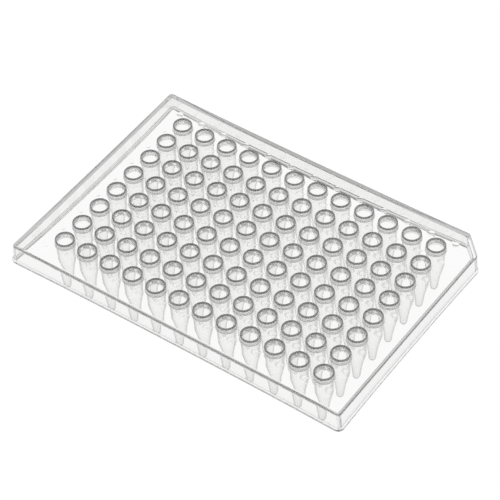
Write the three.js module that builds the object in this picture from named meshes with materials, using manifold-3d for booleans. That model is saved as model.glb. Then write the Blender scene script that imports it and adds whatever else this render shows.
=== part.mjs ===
// 96-well PCR plate with a half-height skirt, moulded in one piece from clear plastic.
// Millimetres, +Z up. The origin is the plate's centre at the level of the tube tips.
// +X runs from column 1 to column 12 and +Y from row H to row A, so the cut corner,
// which tells the user which way round the plate is, stands beside well A12 at +X +Y.

import * as THREE from 'three';
import { mergeVertices } from 'three/addons/utils/BufferGeometryUtils.js';
import Module from 'manifold-3d';

// Well grid
const columns = 12;
const rows = 8;
const wellPitch = 9;

// Plate
const plateHeight = 21; // flats of the tube tips to the rims
const endMargin = 12.8; // outer column's axis to the end of the deck
const sideMargin = 10.95; // outer row's axis to the side of the deck
const deckThickness = 1.1;
const cornerRadius = 1.2;
const edgeBevel = 0.35; // softened edge where deck and skirt meet

// Skirt, which hangs from the edge of the deck, and the lip round its foot
const skirtHeight = 6.2; // deck face to the foot of the skirt
const skirtWall = 1.1;
const skirtDraft = 0.45; // how far the wall leans out towards its foot
const lipReach = 0.55;
const lipThickness = 0.85;

// Cut corner beside well A12
const cutLeg = 7.1;
const cutRadius = 1.6;

// Wells: a sleeve that is all but straight, then a cone down to the tip
const mouthRadius = 2.75;
const rimHeight = 1.3; // rim above the deck
const rimWall = 0.5;
const sleeveDepth = 9.75; // rim to the start of the cone
const sleeveTaper = 0.12; // how much the bore narrows along the sleeve
const tubeWall = 0.35;
const tipBoreRadius = 1; // bore at the foot of the cone
const tipFloor = 0.5; // plastic under the bore
const tipDish = 0.35; // depth of the dished end of the bore

// Facets: a round section becomes a polygon that encloses the same area
const tubeSides = 8;
const cornerSteps = 2;
const facetAngle = (2 * Math.PI) / tubeSides;
const facetGain = Math.sqrt(facetAngle / Math.sin(facetAngle));

// Levels that follow
const deckTop = plateHeight - rimHeight;
const deckMiddle = deckTop - deckThickness / 2;
const deckBottom = deckTop - deckThickness;
const wallTop = deckTop - edgeBevel;
const skirtFoot = deckTop - skirtHeight;
const coneTop = plateHeight - sleeveDepth;
const cutClearance = 1; // how far a cutting solid runs past the face it opens

const wasm = await Module();
wasm.setup();

function toSolid(geometry) {
  geometry.deleteAttribute('normal');
  geometry.deleteAttribute('uv');
  const merged = mergeVertices(geometry, 1e-4);
  const corners = merged.getIndex().array;
  const triVerts = [];
  for (let i = 0; i < corners.length; i += 3) {
    const [a, b, c] = corners.slice(i, i + 3);
    if (a !== b && b !== c && c !== a) triVerts.push(a, b, c);
  }
  const vertProperties = new Float32Array(merged.getAttribute('position').array);
  return new wasm.Manifold(
    new wasm.Mesh({ numProp: 3, vertProperties, triVerts: new Uint32Array(triVerts) }),
  );
}

function toGeometry(solid) {
  const { vertProperties, triVerts } = solid.getMesh();
  const geometry = new THREE.BufferGeometry();
  geometry.setAttribute('position', new THREE.BufferAttribute(vertProperties, 3));
  geometry.setIndex(new THREE.BufferAttribute(triVerts, 1));
  geometry.computeVertexNormals();
  return geometry;
}

// An anticlockwise polygon whose corners are rounded, each with its own radius.
function roundedPolygon(corners) {
  const shape = new THREE.Shape();
  corners.forEach(({ point, radius }, i) => {
    const before = corners.at(i - 1).point;
    const after = corners[(i + 1) % corners.length].point;
    const arriving = point.clone().sub(before).normalize();
    const leaving = after.clone().sub(point).normalize();
    const turn = arriving.angleTo(leaving);
    const setback = radius * Math.tan(turn / 2);
    const start = arriving.angle() - Math.PI / 2;
    const centre = point
      .clone()
      .addScaledVector(arriving, -setback)
      .add(new THREE.Vector2(-arriving.y, arriving.x).multiplyScalar(radius));
    shape.absarc(centre.x, centre.y, radius, start, start + turn, false);
  });
  shape.closePath();
  return shape;
}

// The plate's outline grown by an offset. The cut corner can have an offset of its own, as it
// has in the lip's outline, which stops inside the skirt there.
function plateOutline(offset, cutOffset = offset) {
  const x = ((columns - 1) * wellPitch) / 2 + endMargin + offset;
  const y = ((rows - 1) * wellPitch) / 2 + sideMargin + offset;
  const leg = cutLeg + 2 * offset - Math.SQRT2 * cutOffset;
  const corner = (px, py, radius) => ({ point: new THREE.Vector2(px, py), radius });
  return roundedPolygon([
    corner(-x, -y, cornerRadius + offset),
    corner(x, -y, cornerRadius + offset),
    corner(x, y - leg, cutRadius),
    corner(x - leg, y, cutRadius),
    corner(-x, y, cornerRadius + offset),
  ]);
}

// A solid through outlines that stand one above another, each with the same number of points.
function lofted(levels) {
  const rings = levels.map(({ outline }) => outline.getPoints(cornerSteps).slice(1));
  const count = rings[0].length;
  const lastRing = (rings.length - 1) * count;
  const positions = rings.flatMap((ring, level) =>
    ring.flatMap(({ x, y }) => [x, y, levels[level].height]),
  );
  const corners = [];
  for (let ring = 0; ring < lastRing; ring += count) {
    for (let i = 0; i < count; i += 1) {
      const a = ring + i;
      const b = ring + ((i + 1) % count);
      corners.push(a, b, b + count, a, b + count, a + count);
    }
  }
  for (const [a, b, c] of THREE.ShapeUtils.triangulateShape([...rings[0]], [])) {
    corners.push(c, b, a, lastRing + a, lastRing + b, lastRing + c);
  }
  const geometry = new THREE.BufferGeometry();
  geometry.setAttribute('position', new THREE.Float32BufferAttribute(positions, 3));
  geometry.setIndex(corners);
  return toSolid(geometry);
}

function turned(profile) {
  const points = profile.map(([radius, height]) => new THREE.Vector2(radius * facetGain, height));
  const geometry = new THREE.LatheGeometry(points, tubeSides, facetAngle / 2);
  geometry.rotateX(Math.PI / 2);
  return toSolid(geometry);
}

// How far the outside of the skirt stands out from the deck's outline at a height.
function lean(height) {
  return (skirtDraft * (wallTop - height)) / (wallTop - skirtFoot);
}

// Deck and skirt: a tray upside down, with a lip round its foot on the four straight sides.
function deckWithSkirt() {
  const belowFoot = skirtFoot - cutClearance;
  const lipTop = skirtFoot + lipThickness;
  const lipOutline = plateOutline(skirtDraft + lipReach, skirtDraft - skirtWall / 2);
  const block = lofted([
    { outline: plateOutline(skirtDraft), height: skirtFoot },
    { outline: plateOutline(0), height: wallTop },
    { outline: plateOutline(-edgeBevel), height: deckTop },
  ]);
  const lip = lofted([
    { outline: lipOutline, height: skirtFoot },
    { outline: lipOutline, height: lipTop },
  ]);
  const hollow = lofted([
    { outline: plateOutline(lean(belowFoot) - skirtWall), height: belowFoot },
    { outline: plateOutline(lean(deckBottom) - skirtWall), height: deckBottom },
  ]);
  return block.add(lip).subtract(hollow);
}

// The outside of one well, from below the flat of its tip up to its rim.
function tubeOutside() {
  return turned([
    [0, -cutClearance],
    [tipBoreRadius + tubeWall, -cutClearance],
    [tipBoreRadius + tubeWall, 0],
    [mouthRadius - sleeveTaper + tubeWall, coneTop],
    [mouthRadius + tubeWall, deckMiddle],
    [mouthRadius + rimWall, deckMiddle],
    [mouthRadius + rimWall, plateHeight],
    [0, plateHeight],
  ]);
}

// The bore of one well, from its floor out through its mouth.
function tubeBore() {
  return turned([
    [0, tipFloor],
    [tipBoreRadius, tipFloor + tipDish],
    [mouthRadius - sleeveTaper, coneTop],
    [mouthRadius, plateHeight],
    [mouthRadius, plateHeight + cutClearance],
    [0, plateHeight + cutClearance],
  ]);
}

function wellCentres() {
  const centres = [];
  for (let row = 0; row < rows; row += 1) {
    for (let column = 0; column < columns; column += 1) {
      const x = (column - (columns - 1) / 2) * wellPitch;
      const y = ((rows - 1) / 2 - row) * wellPitch;
      centres.push([x, y, 0]);
    }
  }
  return centres;
}

function wellPlate() {
  const centres = wellCentres();
  const outside = tubeOutside();
  const bore = tubeBore();
  const table = lofted([
    { outline: plateOutline(0), height: -2 * cutClearance },
    { outline: plateOutline(0), height: 0 },
  ]);
  const joined = centres.reduce((body, at) => body.add(outside.translate(at)), deckWithSkirt());
  return centres.reduce((body, at) => body.subtract(bore.translate(at)), joined).subtract(table);
}

const clearPlastic = new THREE.MeshStandardMaterial({
  color: 0xeef0ee,
  roughness: 0.08,
  metalness: 0,
  transparent: true,
  opacity: 0.35,
  flatShading: true,
});

const plate = new THREE.Mesh(toGeometry(wellPlate()), clearPlastic);
plate.name = 'well_plate';

const group = new THREE.Group();
group.name = 'pcr_plate';
group.add(plate);

export default group;
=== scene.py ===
# A clear 96-well PCR plate with a half-height skirt, on a white table in soft studio light.
# The plate is one moulding, so it is one mesh. Its shape is given in millimetres.

from math import atan2, cos, pi, radians, sin, sqrt, tan

import bmesh
import bpy
from mathutils import Euler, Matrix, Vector
from mathutils.geometry import delaunay_2d_cdt


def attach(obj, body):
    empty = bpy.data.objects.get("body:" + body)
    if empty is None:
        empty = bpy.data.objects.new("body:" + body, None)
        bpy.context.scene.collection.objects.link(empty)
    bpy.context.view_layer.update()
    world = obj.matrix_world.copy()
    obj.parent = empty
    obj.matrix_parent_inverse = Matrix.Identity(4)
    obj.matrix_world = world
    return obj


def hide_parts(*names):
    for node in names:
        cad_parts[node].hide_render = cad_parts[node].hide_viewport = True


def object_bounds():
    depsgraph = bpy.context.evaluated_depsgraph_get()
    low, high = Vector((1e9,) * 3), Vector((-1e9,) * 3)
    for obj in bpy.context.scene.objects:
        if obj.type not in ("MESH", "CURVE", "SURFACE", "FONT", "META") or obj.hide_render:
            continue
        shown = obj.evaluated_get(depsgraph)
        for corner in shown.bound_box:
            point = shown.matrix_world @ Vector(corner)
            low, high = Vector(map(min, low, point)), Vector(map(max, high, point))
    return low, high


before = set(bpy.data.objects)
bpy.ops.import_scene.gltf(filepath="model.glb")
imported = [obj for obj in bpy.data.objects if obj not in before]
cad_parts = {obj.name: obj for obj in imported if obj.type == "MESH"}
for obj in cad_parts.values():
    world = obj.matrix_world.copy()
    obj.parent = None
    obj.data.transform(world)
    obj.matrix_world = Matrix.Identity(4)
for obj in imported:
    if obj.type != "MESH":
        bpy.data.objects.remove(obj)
cadLow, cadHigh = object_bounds()
mm = 0.001
print("frame loaded")

plate = {
    "columns": 12,
    "rows": 8,
    "pitch": 9.0,
    "height": cadHigh.z / mm,  # tube tips to rims
    "rim": 1.3,  # rim above the deck
    "deck": 1.1,  # thickness
    "underFillet": 0.4,  # where the deck's underside meets the skirt
}

skirt = {
    "height": 6.7,  # deck face to the foot
    "wall": 1.1,
    "draft": 0.45,  # how far the wall leans out towards its foot
    "edge": 0.34,  # radius of the edge between deck and skirt
    "corner": 1.2,  # radius of the deck's corners
    "cornerSteps": 8,
    "lip": 0.55,  # how far the lip reaches past the wall
    "lipThickness": 1.0,
    "lipRound": 0.14,
    "footRound": 0.14,  # inner edge of the foot
    # Painted shade: a dark tint along the skirt's edges, foot, lip, walls and corners, for the dark
    # lines and grey that refraction draws there.
    "edgeShade": 0.92,  # painted shade along the edge of the deck, for the dark line that refraction draws there
    "leftShadeShare": 0.1,  # share of that painted shade along the left edge, which is drawn lighter
    "leftBand": 1.0,  # how far in from the left edge that holds
    "footShade": 1.0,
    "lipShade": 0.8,
    "shadeFades": 0.06,  # how far beside an edge the painted shade clears
    "wallShade": 0.07,
    "cornerShade": 0.45,  # painted shade along the upright edges at the corners
    "cornerBand": 0.4,  # how far from the deck's corners that reaches
    "cutLeg": 7.1,
    "cutCorner": 1.6,  # radius of the two corners that the cut leaves
    "cutSteps": 4,
    "cutLip": 0.1,  # the little that is left of the lip across the cut corner
    "span": 4.0,  # longest stretch between two points along a side
}

# How far cooling has pulled the middle of each side inwards, at the deck and at the foot.
shrinkage = {
    "front": (0.1, 0.62),
    "right": (0.1, 0.5),
    "back": (0.5, 2.0),
    "left": (0.2, 1.15),
    "power": 2.6,  # how evenly the pull is spread along a side
    "downPower": 1.5,  # how late the pull grows on the way down to the foot
    "spread": (0.35, 0.25),  # how far the deck's left and back edges stand out over their walls
    "corner": 0.3,  # and how much more at the corner between them
    "spreadEnds": 1.3,  # how soon the spread is used up on the way down, so that none reaches the lip
}

well = {
    "segments": 26,
    "mouth": 2.74,  # radii of the bore's mouth and of the rim, above and at its foot
    "rim": 3.25,
    "rimFoot": 3.18,
    "rimRound": 0.24,
    "rimFillet": 0.25,  # where the rim meets the deck
    "rootFillet": 0.7,  # where a tube leaves the deck's underside
    "sleeveTop": 2.69,
    "sleeveFoot": 2.57,
    "sleeveDepth": 9.75,  # rim to the start of the cone
    "waist": 1.55,  # bore part of the way down the cone, a little slimmer than a straight cone
    "waistDepth": 14.5,
    "tipBore": 0.95,
    "wall": 0.35,
    "floor": 0.5,
    "tipShade": 0.12,  # painted shade on the outside of the tip, for the grey that the tip shows
    "tipShadeTop": 3.0,  # height up to which that painted shade holds
}

# The low round marks that the ejector pins leave between the wells.
pinMark = {"radius": 1.15, "height": 0.035, "bevel": 0.05, "segments": 16}

# Column numbers, raised along the back margin.
number = {
    "height": 3.0,
    "relief": 0.1,
    "row": 39.2,  # middle of the plate to the middle of the figures
    "figureShare": 0.7,  # share of the type's size that a figure fills
}

deckTop = plate["height"] - plate["rim"]
deckBottom = deckTop - plate["deck"]
foot = deckTop - skirt["height"]
coneTop = plate["height"] - well["sleeveDepth"]
halfLength = cadHigh.x / mm - skirt["draft"] - skirt["lip"]  # of the deck
halfWidth = cadHigh.y / mm - skirt["draft"] - skirt["lip"]


class Shell:
    # Points and faces, gathered in millimetres, and the painted shade at each point.
    def __init__(self):
        self.points = []
        self.paintedShade = []
        self.faces = []

    def add(self, points, paintedShade=None):
        start = len(self.points)
        self.points.extend(points)
        self.paintedShade.extend(paintedShade or [0.0] * len(points))
        return list(range(start, start + len(points)))

    def bridge(self, ringA, ringB):
        count = len(ringA)
        for i in range(count):
            j = (i + 1) % count
            self.faces.append((ringA[i], ringA[j], ringB[j], ringB[i]))

    def loft(self, rings):
        for ringA, ringB in zip(rings, rings[1:]):
            self.bridge(ringA, ringB)

    def cap(self, ring, pole):
        count = len(ring)
        for i in range(count):
            self.faces.append((ring[i], ring[(i + 1) % count], pole))


def circle(centre, radius, height, segments):
    x, y = centre
    turns = [2 * pi * i / segments for i in range(segments)]
    return [(x + radius * cos(t), y + radius * sin(t), height) for t in turns]


# The deck's outline grown by an offset, with the same number of points whatever the offset.
def roundedOutline(offset, cutOffset=None):
    cutOffset = offset if cutOffset is None else cutOffset
    x = halfLength + offset
    y = halfWidth + offset
    leg = skirt["cutLeg"] + 2 * offset - sqrt(2) * cutOffset
    big = max(skirt["corner"] + offset, 0.1)
    small = skirt["cutCorner"]
    bigSteps = skirt["cornerSteps"]
    smallSteps = skirt["cutSteps"]
    corners = [
        (Vector((-x, -y)), big, bigSteps),
        (Vector((x, -y)), big, bigSteps),
        (Vector((x, y - leg)), small, smallSteps),
        (Vector((x - leg, y)), small, smallSteps),
        (Vector((-x, y)), big, bigSteps),
    ]
    outline = []
    for i, (corner, radius, steps) in enumerate(corners):
        arriving = (corner - corners[i - 1][0]).normalized()
        leaving = (corners[(i + 1) % len(corners)][0] - corner).normalized()
        turn = arriving.angle(leaving)
        start = atan2(arriving.y, arriving.x) - pi / 2
        inward = Vector((-arriving.y, arriving.x))
        centre = corner - arriving * radius * tan(turn / 2) + inward * radius
        for step in range(steps + 1):
            angle = start + turn * step / steps
            outline.append(centre + radius * Vector((cos(angle), sin(angle))))
    return outline


# Adds points along the straight runs, as many on every outline, so that the sides can bow.
def withStraightsDivided(outline):
    reference = roundedOutline(0)
    points = []
    for i, a in enumerate(outline):
        j = (i + 1) % len(outline)
        count = max(1, round((reference[j] - reference[i]).length / skirt["span"]))
        points.extend(a.lerp(outline[j], step / count) for step in range(count))
    return points


# Where a point of the skirt's outline lies once the moulding has cooled.
def bowed(point, height):
    down = max(0.0, min(1.0, (deckTop - height) / skirt["height"])) ** shrinkage["downPower"]
    cut = skirt["cutLeg"] / 2

    def pull(side, along, middle, reach):
        atDeck, atFoot = shrinkage[side]
        spread = 1 - abs((along - middle) / reach) ** shrinkage["power"]
        return (atDeck + (atFoot - atDeck) * down) * max(0.0, spread)

    x, y = point
    leftSpread, backSpread = shrinkage["spread"]
    up = max(0.0, 1 - shrinkage["spreadEnds"] * down)
    corner = shrinkage["corner"] * (1 - x / halfLength) * (1 + y / halfWidth) / 4
    if x > 0:
        newX = x - pull("right", y, -cut, halfWidth - cut)
    else:
        newX = x + pull("left", y, 0, halfWidth) - (leftSpread + corner) * up
    if y > 0:
        newY = y - pull("back", x, -cut, halfLength - cut) + (backSpread + corner) * up
    else:
        newY = y + pull("front", x, 0, halfLength)
    return newX, newY


def grid(columns, rows):
    places = []
    for row in range(rows):
        for column in range(columns):
            x = (column - (columns - 1) / 2) * plate["pitch"]
            y = ((rows - 1) / 2 - row) * plate["pitch"]
            places.append((x, y))
    return places


# Radius and height of the outside of a tube, from the deck's underside down to the tip.
def tubeOutside():
    wall = well["wall"]
    tip = well["tipBore"] + wall
    top = well["sleeveTop"] + wall
    knee = well["sleeveFoot"] + wall
    waist = well["waist"] + wall
    bend = well["rootFillet"]
    turn = [radians(a) for a in (90, 70, 45, 20, 0)]
    return [
        *((top + bend - bend * cos(t), deckBottom - bend + bend * sin(t)) for t in turn),
        (knee + 0.02, coneTop + 0.4),  # the knee, softened over three rings
        (knee - 0.02, coneTop),
        (knee - 0.13, coneTop - 0.5),
        (waist, plate["height"] - well["waistDepth"]),
        (tip + 0.02, tip + 0.3),
        *((tip * cos(t), tip - tip * sin(t)) for t in (radians(a) for a in (10, 35, 60, 80))),
    ]


# Radius and height of a well's bore from its floor up, then over its rim and down to the deck.
def boreAndRim():
    bore = well["tipBore"]
    floor = well["floor"]
    top = plate["height"]
    bend = well["rimRound"]
    fillet = well["rimFillet"]
    quarter = [radians(a) for a in (0, 22, 45, 68, 90)]
    return [
        (bore * 0.5, floor + 0.13),  # the round end, up to its full radius
        (bore * 0.87, floor + 0.45),
        (bore, floor + bore),
        (well["waist"], top - well["waistDepth"]),
        (well["sleeveFoot"] - 0.12, coneTop - 0.4),  # the knee inside
        (well["sleeveFoot"], coneTop + 0.2),
        (well["mouth"] - 0.01, top - 3 * bend),
        *((well["mouth"] + bend - bend * cos(t), top - bend + bend * sin(t)) for t in quarter),
        *((well["rim"] - bend + bend * sin(t), top - bend + bend * cos(t)) for t in quarter),
        *(
            (well["rimFoot"] + fillet - fillet * cos(t), deckTop + fillet - fillet * sin(t))
            for t in quarter
        ),
    ]


def addWell(shell, centre):
    sides = (
        (tubeOutside(), 0.0, well["tipShade"]),
        (boreAndRim()[::-1], well["floor"], 0.0),
    )
    for profile, pole, tipShade in sides:
        rings = []
        for r, z in profile:
            points = circle(centre, r, z, well["segments"])
            # The outside of the tip carries painted shade up to a given height.
            paintedShade = tipShade if z < well["tipShadeTop"] else 0.0
            rings.append(shell.add(points, [paintedShade] * len(points)))
        shell.loft(rings)
        shell.cap(rings[-1], shell.add([(*centre, pole)])[0])


def addPinMark(shell, centre):
    top = deckTop + pinMark["height"]
    profile = [(pinMark["radius"], deckTop), (pinMark["radius"] - pinMark["bevel"], top)]
    rings = [shell.add(circle(centre, r, z, pinMark["segments"])) for r, z in profile]
    shell.loft(rings)
    shell.cap(rings[-1], shell.add([(*centre, top)])[0])


# Offset from the deck's outline, height, the lip's own offset across the cut corner, and painted
# shade.
def skirtSection():
    edge = skirt["edge"]
    wall = skirt["wall"]
    draft = skirt["draft"]
    bend = skirt["lipRound"]
    reach = draft + skirt["lip"]
    cut = skirt["cutLip"]
    lipTop = foot + skirt["lipThickness"]
    lipRoot = draft * (deckTop - lipTop) / skirt["height"]  # where the wall meets the lip
    fillet = plate["underFillet"]
    rounding = [radians(a) for a in (90, 68, 45, 22, 0)]
    lowerEdge = [radians(a) for a in (0, 45, 90)]
    inner = draft - wall
    footBend = skirt["footRound"]
    deckEdge = [(-edge + edge * cos(t), deckTop - edge + edge * sin(t), None) for t in rounding]
    # Where the painted shade lies across the section, and its level on the walls.
    fades = skirt["shadeFades"]
    wallShadeLevel = skirt["wallShade"]
    lipRootRings = [
        (lipRoot, lipTop + 0.12, None),
        (lipRoot + 0.05, lipTop + 0.02, lipRoot + cut * 0.3),
        (lipRoot + 0.12, lipTop, lipRoot + cut * 0.5),
    ]
    lipEdges = [
        *(
            (reach - bend + bend * sin(t), lipTop - bend + bend * cos(t), draft + cut)
            for t in lowerEdge
        ),
        *(
            (reach - bend + bend * cos(t), foot + bend - bend * sin(t), draft + cut * cos(t))
            for t in lowerEdge
        ),
    ]
    footEdge = [
        (inner + footBend - footBend * sin(t), foot + footBend - footBend * cos(t), None)
        for t in lowerEdge[::-1]
    ]
    return [
        (-edge - fades, deckTop, None, 0),
        (*deckEdge[0], 0),
        *((*ring, skirt["edgeShade"]) for ring in deckEdge[1:]),
        (0.01, deckTop - edge - 0.1, None, skirt["edgeShade"]),
        (0.02, deckTop - edge - 0.1 - fades, None, wallShadeLevel),
        *((*ring, wallShadeLevel) for ring in lipRootRings),
        (reach - bend - fades, lipTop, draft + cut * 0.8, 0),
        *((*ring, 0) for ring in lipEdges[:3]),
        *((*ring, skirt["lipShade"]) for ring in lipEdges[3:]),
        (reach - bend - fades, foot, draft - 0.05, 0),
        (inner + footBend + fades, foot, None, 0),
        *((*ring, skirt["footShade"]) for ring in footEdge),
        (inner - 0.01, foot + footBend + fades, None, wallShadeLevel),
        (-wall, deckBottom - fillet, None, wallShadeLevel),
        (-wall - fillet * 0.3, deckBottom - fillet * 0.3, None, 0),
        (-wall - fillet, deckBottom, None, 0),
    ]


# Painted shade at a point of the skirt: less along the left edge, more at the upright corners.
def localShade(point, height, paintedShade):
    band = skirt["cornerBand"]
    atCorner = abs(point.x) > halfLength - band and abs(point.y) > halfWidth - band
    if atCorner and foot < height < deckBottom:
        return max(paintedShade, skirt["cornerShade"])
    if point.x < skirt["leftBand"] - halfLength and height > deckBottom:
        return paintedShade * skirt["leftShadeShare"]
    return paintedShade


# Makes the skirt, and returns its outlines on the deck's face and on the deck's underside.
def addSkirt(shell):
    rings = []
    for offset, height, cutOffset, paintedShade in skirtSection():
        outline = withStraightsDivided(roundedOutline(offset, cutOffset))
        shades = [localShade(point, height, paintedShade) for point in outline]
        rings.append(shell.add([(*bowed(point, height), height) for point in outline], shades))
    shell.loft(rings)
    return [[shell.points[i] for i in ring] for ring in (rings[0], rings[-1])]


# Fills the flat between an outline and its holes.
def addFlat(shell, height, outline, holes=()):
    points = []
    polygons = []
    for loop in (outline, *holes):
        polygons.append(list(range(len(points), len(points) + len(loop))))
        points.extend(Vector(point[:2]) for point in loop)
    insideOnly = 1
    nearness = 1e-5
    found = delaunay_2d_cdt(points, [], polygons, insideOnly, nearness, True)
    made, triangles, owners = found[0], found[2], found[5]
    index = shell.add([(point.x, point.y, height) for point in made])
    for triangle, owner in zip(triangles, owners):
        if list(owner) == [0]:
            shell.faces.append(tuple(index[i] for i in triangle))


# The outlines of a flat mesh, each a list of points in order, anticlockwise round its faces.
def outlinesOf(flat):
    places = [tuple(round(value, 3) for value in vertex.co.xy) for vertex in flat.vertices]
    sides = set()
    for face in flat.polygons:
        corners = [places[i] for i in face.vertices]
        sides.update(zip(corners, corners[1:] + corners[:1]))
    follows = {a: b for a, b in sides if a != b and (b, a) not in sides}
    loops = []
    while follows:
        start, corner = follows.popitem()
        loop = [start]
        while corner != start:
            loop.append(corner)
            corner = follows.pop(corner)
        loops.append([Vector(point) for point in loop])
    return loops


def isOuter(loop):
    return sum(a.cross(b) for a, b in zip(loop, loop[1:] + loop[:1])) > 0


# Outlines of a column's number, standing in its place along the back margin.
def numberOutlines(column):
    figures = bpy.data.curves.new("columnNumber", "FONT")
    figures.body = str(column + 1)
    figures.size = number["height"] / number["figureShare"]
    figures.align_x = "CENTER"
    figures.resolution_u = 3
    holder = bpy.data.objects.new("columnNumber", figures)
    bpy.context.collection.objects.link(holder)
    bpy.context.view_layer.update()
    x = (column - (plate["columns"] - 1) / 2) * plate["pitch"]
    y = number["row"] - number["height"] / 2
    flat = holder.to_mesh()
    loops = [[point + Vector((x, y)) for point in loop] for loop in outlinesOf(flat)]
    holder.to_mesh_clear()
    bpy.data.objects.remove(holder)
    bpy.data.curves.remove(figures)
    return loops


# Raises a number from the deck, and returns the holes that it needs in the deck.
def addNumber(shell, column):
    loops = numberOutlines(column)
    top = deckTop + number["relief"]
    for loop in loops:
        shell.loft([shell.add([(*point, z) for point in loop]) for z in (deckTop, top)])
    outer = [loop for loop in loops if isOuter(loop)]
    inner = [loop[::-1] for loop in loops if not isOuter(loop)]
    for loop in outer:
        addFlat(shell, top, loop, inner)
    for loop in inner:
        addFlat(shell, deckTop, loop)
    return outer


def buildPlate():
    shell = Shell()
    wells = grid(plate["columns"], plate["rows"])
    marks = grid(plate["columns"] + 1, plate["rows"] + 1)
    for centre in wells:
        addWell(shell, centre)
    print("wells made")
    for centre in marks:
        addPinMark(shell, centre)
    numberHoles = []
    for column in range(plate["columns"]):
        numberHoles += addNumber(shell, column)
    print("marks and numbers made")
    face, underside = addSkirt(shell)
    rimFoot = boreAndRim()[-1][0]
    tubeRoot = tubeOutside()[0][0]
    holes = [circle(c, rimFoot, deckTop, well["segments"]) for c in wells]
    holes += [circle(c, pinMark["radius"], deckTop, pinMark["segments"]) for c in marks]
    addFlat(shell, deckTop, face, holes + numberHoles)
    addFlat(
        shell,
        deckBottom,
        underside,
        [circle(c, tubeRoot, deckBottom, well["segments"]) for c in wells],
    )
    print("deck and skirt made")
    return meshObject("clearPlate", shell)


# Makes the mesh in metres, closes it where its parts meet, and keeps its sharp edges sharp.
def meshObject(name, shell):
    weld = 0.002
    sharpAngle = 50
    mesh = bpy.data.meshes.new(name)
    mesh.from_pydata([[mm * value for value in point] for point in shell.points], [], shell.faces)
    # The painted shade at each point is kept on the mesh as an attribute.
    mesh.attributes.new("paintedShade", "FLOAT", "POINT").data.foreach_set("value", shell.paintedShade)
    work = bmesh.new()
    work.from_mesh(mesh)
    bmesh.ops.remove_doubles(work, verts=work.verts, dist=weld * mm)
    bmesh.ops.recalc_face_normals(work, faces=work.faces)
    openEdges = sum(1 for edge in work.edges if len(edge.link_faces) != 2)
    print("plate mesh:", len(work.faces), "faces,", openEdges, "edges that are not closed")
    work.to_mesh(mesh)
    work.free()
    mesh.shade_smooth()
    mesh.set_sharp_from_angle(angle=radians(sharpAngle))
    piece = bpy.data.objects.new(name, mesh)
    bpy.context.collection.objects.link(piece)
    even = piece.modifiers.new("evenFaces", "WEIGHTED_NORMAL")
    even.keep_sharp = True
    return piece


plastic = {
    "clearTint": (0.995, 0.995, 0.992),
    "denseTint": (0.982, 0.984, 0.98),
    "tintSize": 12.0,  # millimetres from one tint to the other
    "ior": 1.57,
    "polish": 0.006,  # roughness where the mould was polished best
    "scuff": 0.015,  # roughness in the rubbed spots
    "scuffSize": 1.6,
    "scuffRises": (0.55, 0.8),  # stretch of the noise over which polish turns to scuff
    "flowSize": 3.0,  # spacing of the faint ripples left by the flow of the melt
    "flowDepth": 0.001,
    "paintedShadeTint": (0.14, 0.14, 0.14),  # painted shade: a dark tint that stands in for the dark lines that refraction draws along clear plastic's edges
    "rimShadeRises": (0.1, 0.8),  # millimetres over the deck between which the rims' painted shade comes in
    "rimSmokeStarts": 0.12,  # no painted shade lower than this, to keep it off the marks and the numbers
    "slantShade": 0.9,  # painted shade where the plastic is seen at a slant, for the dark outlines of the tubes
    "slantPower": 4.5,  # how soon that painted shade fades as the surface turns to face the eye
}


def newMaterial(name):
    material = bpy.data.materials.new(name)
    material.use_nodes = True
    tree = material.node_tree
    tree.nodes.clear()
    return material, tree.nodes, tree.links


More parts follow.
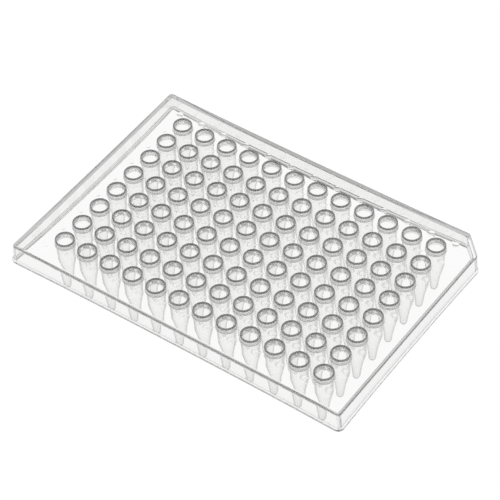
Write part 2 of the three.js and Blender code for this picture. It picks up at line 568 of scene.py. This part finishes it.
def clearPlasticMaterial():
    material, nodes, links = newMaterial("clearPlastic")
    output = nodes.new("ShaderNodeOutputMaterial")
    shader = nodes.new("ShaderNodeBsdfPrincipled")
    shader.inputs["IOR"].default_value = plastic["ior"]
    shader.inputs["Transmission Weight"].default_value = 1
    links.new(shader.outputs[0], output.inputs["Surface"])
    where = nodes.new("ShaderNodeTexCoord").outputs["Object"]

    def noise(size, detail):
        texture = nodes.new("ShaderNodeTexNoise")
        texture.inputs["Scale"].default_value = 1 / (size * mm)
        texture.inputs["Detail"].default_value = detail
        links.new(where, texture.inputs["Vector"])
        return texture.outputs["Fac"]

    tint = nodes.new("ShaderNodeMix")
    tint.data_type = "RGBA"
    tint.inputs["A"].default_value = (*plastic["clearTint"], 1)
    tint.inputs["B"].default_value = (*plastic["denseTint"], 1)
    links.new(noise(plastic["tintSize"], detail=2), tint.inputs["Factor"])

    def calculate(operation, first, second):
        node = nodes.new("ShaderNodeMath")
        node.operation = operation
        for socket, source in zip(node.inputs, (first, second)):
            if isinstance(source, float):
                socket.default_value = source
            else:
                links.new(source, socket)
        return node.outputs[0]

    # Painted shade: the rims' crowns, the skirt's edges by the mesh's attribute and surfaces seen at
    # a slant are tinted dark, for the dark lines that refraction draws in clear plastic.
    height = nodes.new("ShaderNodeSeparateXYZ")
    links.new(where, height.inputs[0])
    rims = nodes.new("ShaderNodeMapRange")
    rims.inputs["From Min"].default_value = (deckTop + plastic["rimShadeRises"][0]) * mm
    rims.inputs["From Max"].default_value = (deckTop + plastic["rimShadeRises"][1]) * mm
    links.new(height.outputs["Z"], rims.inputs["Value"])
    start = (deckTop + plastic["rimSmokeStarts"]) * mm
    overDeck = calculate("GREATER_THAN", height.outputs["Z"], start)
    rimSmoke = calculate("MULTIPLY", rims.outputs["Result"], overDeck)
    edges = nodes.new("ShaderNodeAttribute")
    edges.attribute_name = "paintedShade"
    # Painted shade that grows as the surface is seen at a slant.
    facing = nodes.new("ShaderNodeLayerWeight").outputs["Facing"]
    slant = calculate("POWER", facing, plastic["slantPower"])
    slantShade = calculate("MULTIPLY", slant, plastic["slantShade"])
    rimAndEdgeShade = calculate("MAXIMUM", rimSmoke, edges.outputs["Fac"])
    paintedShade = calculate("MAXIMUM", rimAndEdgeShade, slantShade)
    paintedShading = nodes.new("ShaderNodeMix")
    paintedShading.data_type = "RGBA"
    paintedShading.inputs["B"].default_value = (*plastic["paintedShadeTint"], 1)
    links.new(paintedShade, paintedShading.inputs["Factor"])
    links.new(tint.outputs["Result"], paintedShading.inputs["A"])
    links.new(paintedShading.outputs["Result"], shader.inputs["Base Color"])

    rubbed = nodes.new("ShaderNodeMapRange")
    rubbed.inputs["From Min"].default_value = plastic["scuffRises"][0]
    rubbed.inputs["From Max"].default_value = plastic["scuffRises"][1]
    rubbed.inputs["To Min"].default_value = plastic["polish"]
    rubbed.inputs["To Max"].default_value = plastic["scuff"]
    links.new(noise(plastic["scuffSize"], detail=6), rubbed.inputs["Value"])
    links.new(rubbed.outputs["Result"], shader.inputs["Roughness"])

    ripple = nodes.new("ShaderNodeBump")
    ripple.inputs["Distance"].default_value = plastic["flowDepth"] * mm
    links.new(noise(plastic["flowSize"], detail=1), ripple.inputs["Height"])
    links.new(ripple.outputs["Normal"], shader.inputs["Normal"])
    return material


clearPlate = buildPlate()
clearPlate.data.materials.append(clearPlasticMaterial())
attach(clearPlate, "root")
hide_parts("well_plate")

studio = {
    "tableSize": 6.0,
    "tableColour": (0.95, 0.95, 0.95),
    "tableGlow": 0.97,  # share of the table's white that is its own glow, so shadows stay faint
    "tableLight": 1.02,  # strength of that glow
    "mirrorings": 5,  # light that was mirrored more often than this is so mixed that it is white
    "mirrorKeeps": 0.87,  # share of the light that each mirroring keeps
    "room": 0.15,  # dark room above, as it shows in mirrored light
    "softBox": {"towards": (-0.42, 0.57, 0.55), "start": 0.55, "full": 0.95, "level": 0.75},
    "tableFar": 0.95,  # table as it shows in mirrored light, away from the bright end
    "tableNear": {"towards": (-0.35, -0.94, 0), "start": -0.6, "full": 0.5, "level": 0.92},
    "horizon": 0.02,  # softness of the line where table and room meet
    "bounces": 64,  # so that light finds its way out of clear plastic
}

view = {
    "lens": 167.14,
    "place": (0.30352, -0.40481, 0.55062),
    "turn": (43.4616, 1.5464, 35.2304),  # degrees
}


# Light that was mirrored inside the plastic and has come out again. It shows the dark room and
# the soft box, which draws the edges of clear plastic, and all other light shows plain white.
def mirroredInside(nodes, links):
    path = nodes.new("ShaderNodeLightPath")
    mirrored = nodes.new("ShaderNodeMath")
    mirrored.operation = "COMPARE"
    mirrored.inputs[1].default_value = (1 + studio["mirrorings"]) / 2
    mirrored.inputs[2].default_value = studio["mirrorings"] / 2
    links.new(path.outputs["Glossy Depth"], mirrored.inputs[0])
    both = nodes.new("ShaderNodeMath")
    both.operation = "MULTIPLY"
    links.new(mirrored.outputs[0], both.inputs[0])
    links.new(path.outputs["Is Transmission Ray"], both.inputs[1])
    return both.outputs[0]


def tableMaterial():
    material, nodes, links = newMaterial("whiteTable")
    output = nodes.new("ShaderNodeOutputMaterial")
    glow = nodes.new("ShaderNodeEmission")
    glow.inputs["Strength"].default_value = studio["tableLight"]
    plain = nodes.new("ShaderNodeBsdfDiffuse")
    plain.inputs["Color"].default_value = (*studio["tableColour"], 1)
    white = nodes.new("ShaderNodeMixShader")
    white.inputs[0].default_value = studio["tableGlow"]
    links.new(plain.outputs[0], white.inputs[1])
    links.new(glow.outputs[0], white.inputs[2])
    unseen = nodes.new("ShaderNodeBsdfTransparent")
    seen = nodes.new("ShaderNodeMixShader")
    links.new(mirroredInside(nodes, links), seen.inputs[0])
    links.new(white.outputs[0], seen.inputs[1])
    links.new(unseen.outputs[0], seen.inputs[2])
    links.new(seen.outputs[0], output.inputs["Surface"])
    return material


def addTable():
    mesh = bpy.data.meshes.new("table")
    half = studio["tableSize"] / 2
    corners = [(-half, -half, 0), (half, -half, 0), (half, half, 0), (-half, half, 0)]
    mesh.from_pydata(corners, [], [(0, 1, 2, 3)])
    table = bpy.data.objects.new("table", mesh)
    bpy.context.collection.objects.link(table)
    mesh.materials.append(tableMaterial())


def setWorld():
    world = bpy.data.worlds.new("studio")
    bpy.context.scene.world = world
    world.use_nodes = True
    nodes = world.node_tree.nodes
    links = world.node_tree.links
    nodes.clear()
    where = nodes.new("ShaderNodeTexCoord").outputs["Generated"]

    def rising(towards, start, full, low, high):
        facing = nodes.new("ShaderNodeVectorMath")
        facing.operation = "DOT_PRODUCT"
        facing.inputs[1].default_value = Vector(towards).normalized()
        links.new(where, facing.inputs[0])
        ramp = nodes.new("ShaderNodeMapRange")
        ramp.interpolation_type = "SMOOTHSTEP"
        ramp.inputs["From Min"].default_value = start
        ramp.inputs["From Max"].default_value = full
        ramp.inputs["To Min"].default_value = low
        ramp.inputs["To Max"].default_value = high
        links.new(facing.outputs["Value"], ramp.inputs["Value"])
        return ramp.outputs["Result"]

    def mix(factor, first, second):
        node = nodes.new("ShaderNodeMix")
        for socket, source in zip(("Factor", "A", "B"), (factor, first, second)):
            if isinstance(source, float):
                node.inputs[socket].default_value = source
            else:
                links.new(source, node.inputs[socket])
        return node.outputs["Result"]

    box = studio["softBox"]
    near = studio["tableNear"]
    above = rising(box["towards"], box["start"], box["full"], studio["room"], box["level"])
    below = rising(near["towards"], near["start"], near["full"], studio["tableFar"], near["level"])
    soft = studio["horizon"]
    horizon = rising((0, 0, 1), -soft, soft, 0, 1)
    light = nodes.new("ShaderNodeBackground")
    kept = nodes.new("ShaderNodeMath")
    kept.operation = "POWER"
    kept.inputs[0].default_value = studio["mirrorKeeps"]
    links.new(nodes.new("ShaderNodeLightPath").outputs["Glossy Depth"], kept.inputs[1])
    dimmed = nodes.new("ShaderNodeMath")
    dimmed.operation = "MULTIPLY"
    links.new(kept.outputs[0], dimmed.inputs[0])
    links.new(mix(horizon, below, above), dimmed.inputs[1])
    mirrored = mirroredInside(nodes, links)
    links.new(mix(mirrored, 1.0, dimmed.outputs[0]), light.inputs["Strength"])
    output = nodes.new("ShaderNodeOutputWorld")
    links.new(light.outputs[0], output.inputs["Surface"])


def addCamera():
    data = bpy.data.cameras.new("camera")
    data.lens = view["lens"]
    data.sensor_width = 36
    data.clip_start = 0.01
    data.clip_end = 20
    camera = bpy.data.objects.new("camera", data)
    bpy.context.collection.objects.link(camera)
    camera.location = view["place"]
    camera.rotation_euler = Euler([radians(a) for a in view["turn"]], "XYZ")
    bpy.context.scene.camera = camera


addTable()
setWorld()
addCamera()
scene = bpy.context.scene
scene.view_settings.view_transform = "Standard"
scene.cycles.max_bounces = studio["bounces"]
scene.cycles.transmission_bounces = studio["bounces"]
scene.cycles.glossy_bounces = studio["bounces"]
print("studio set")
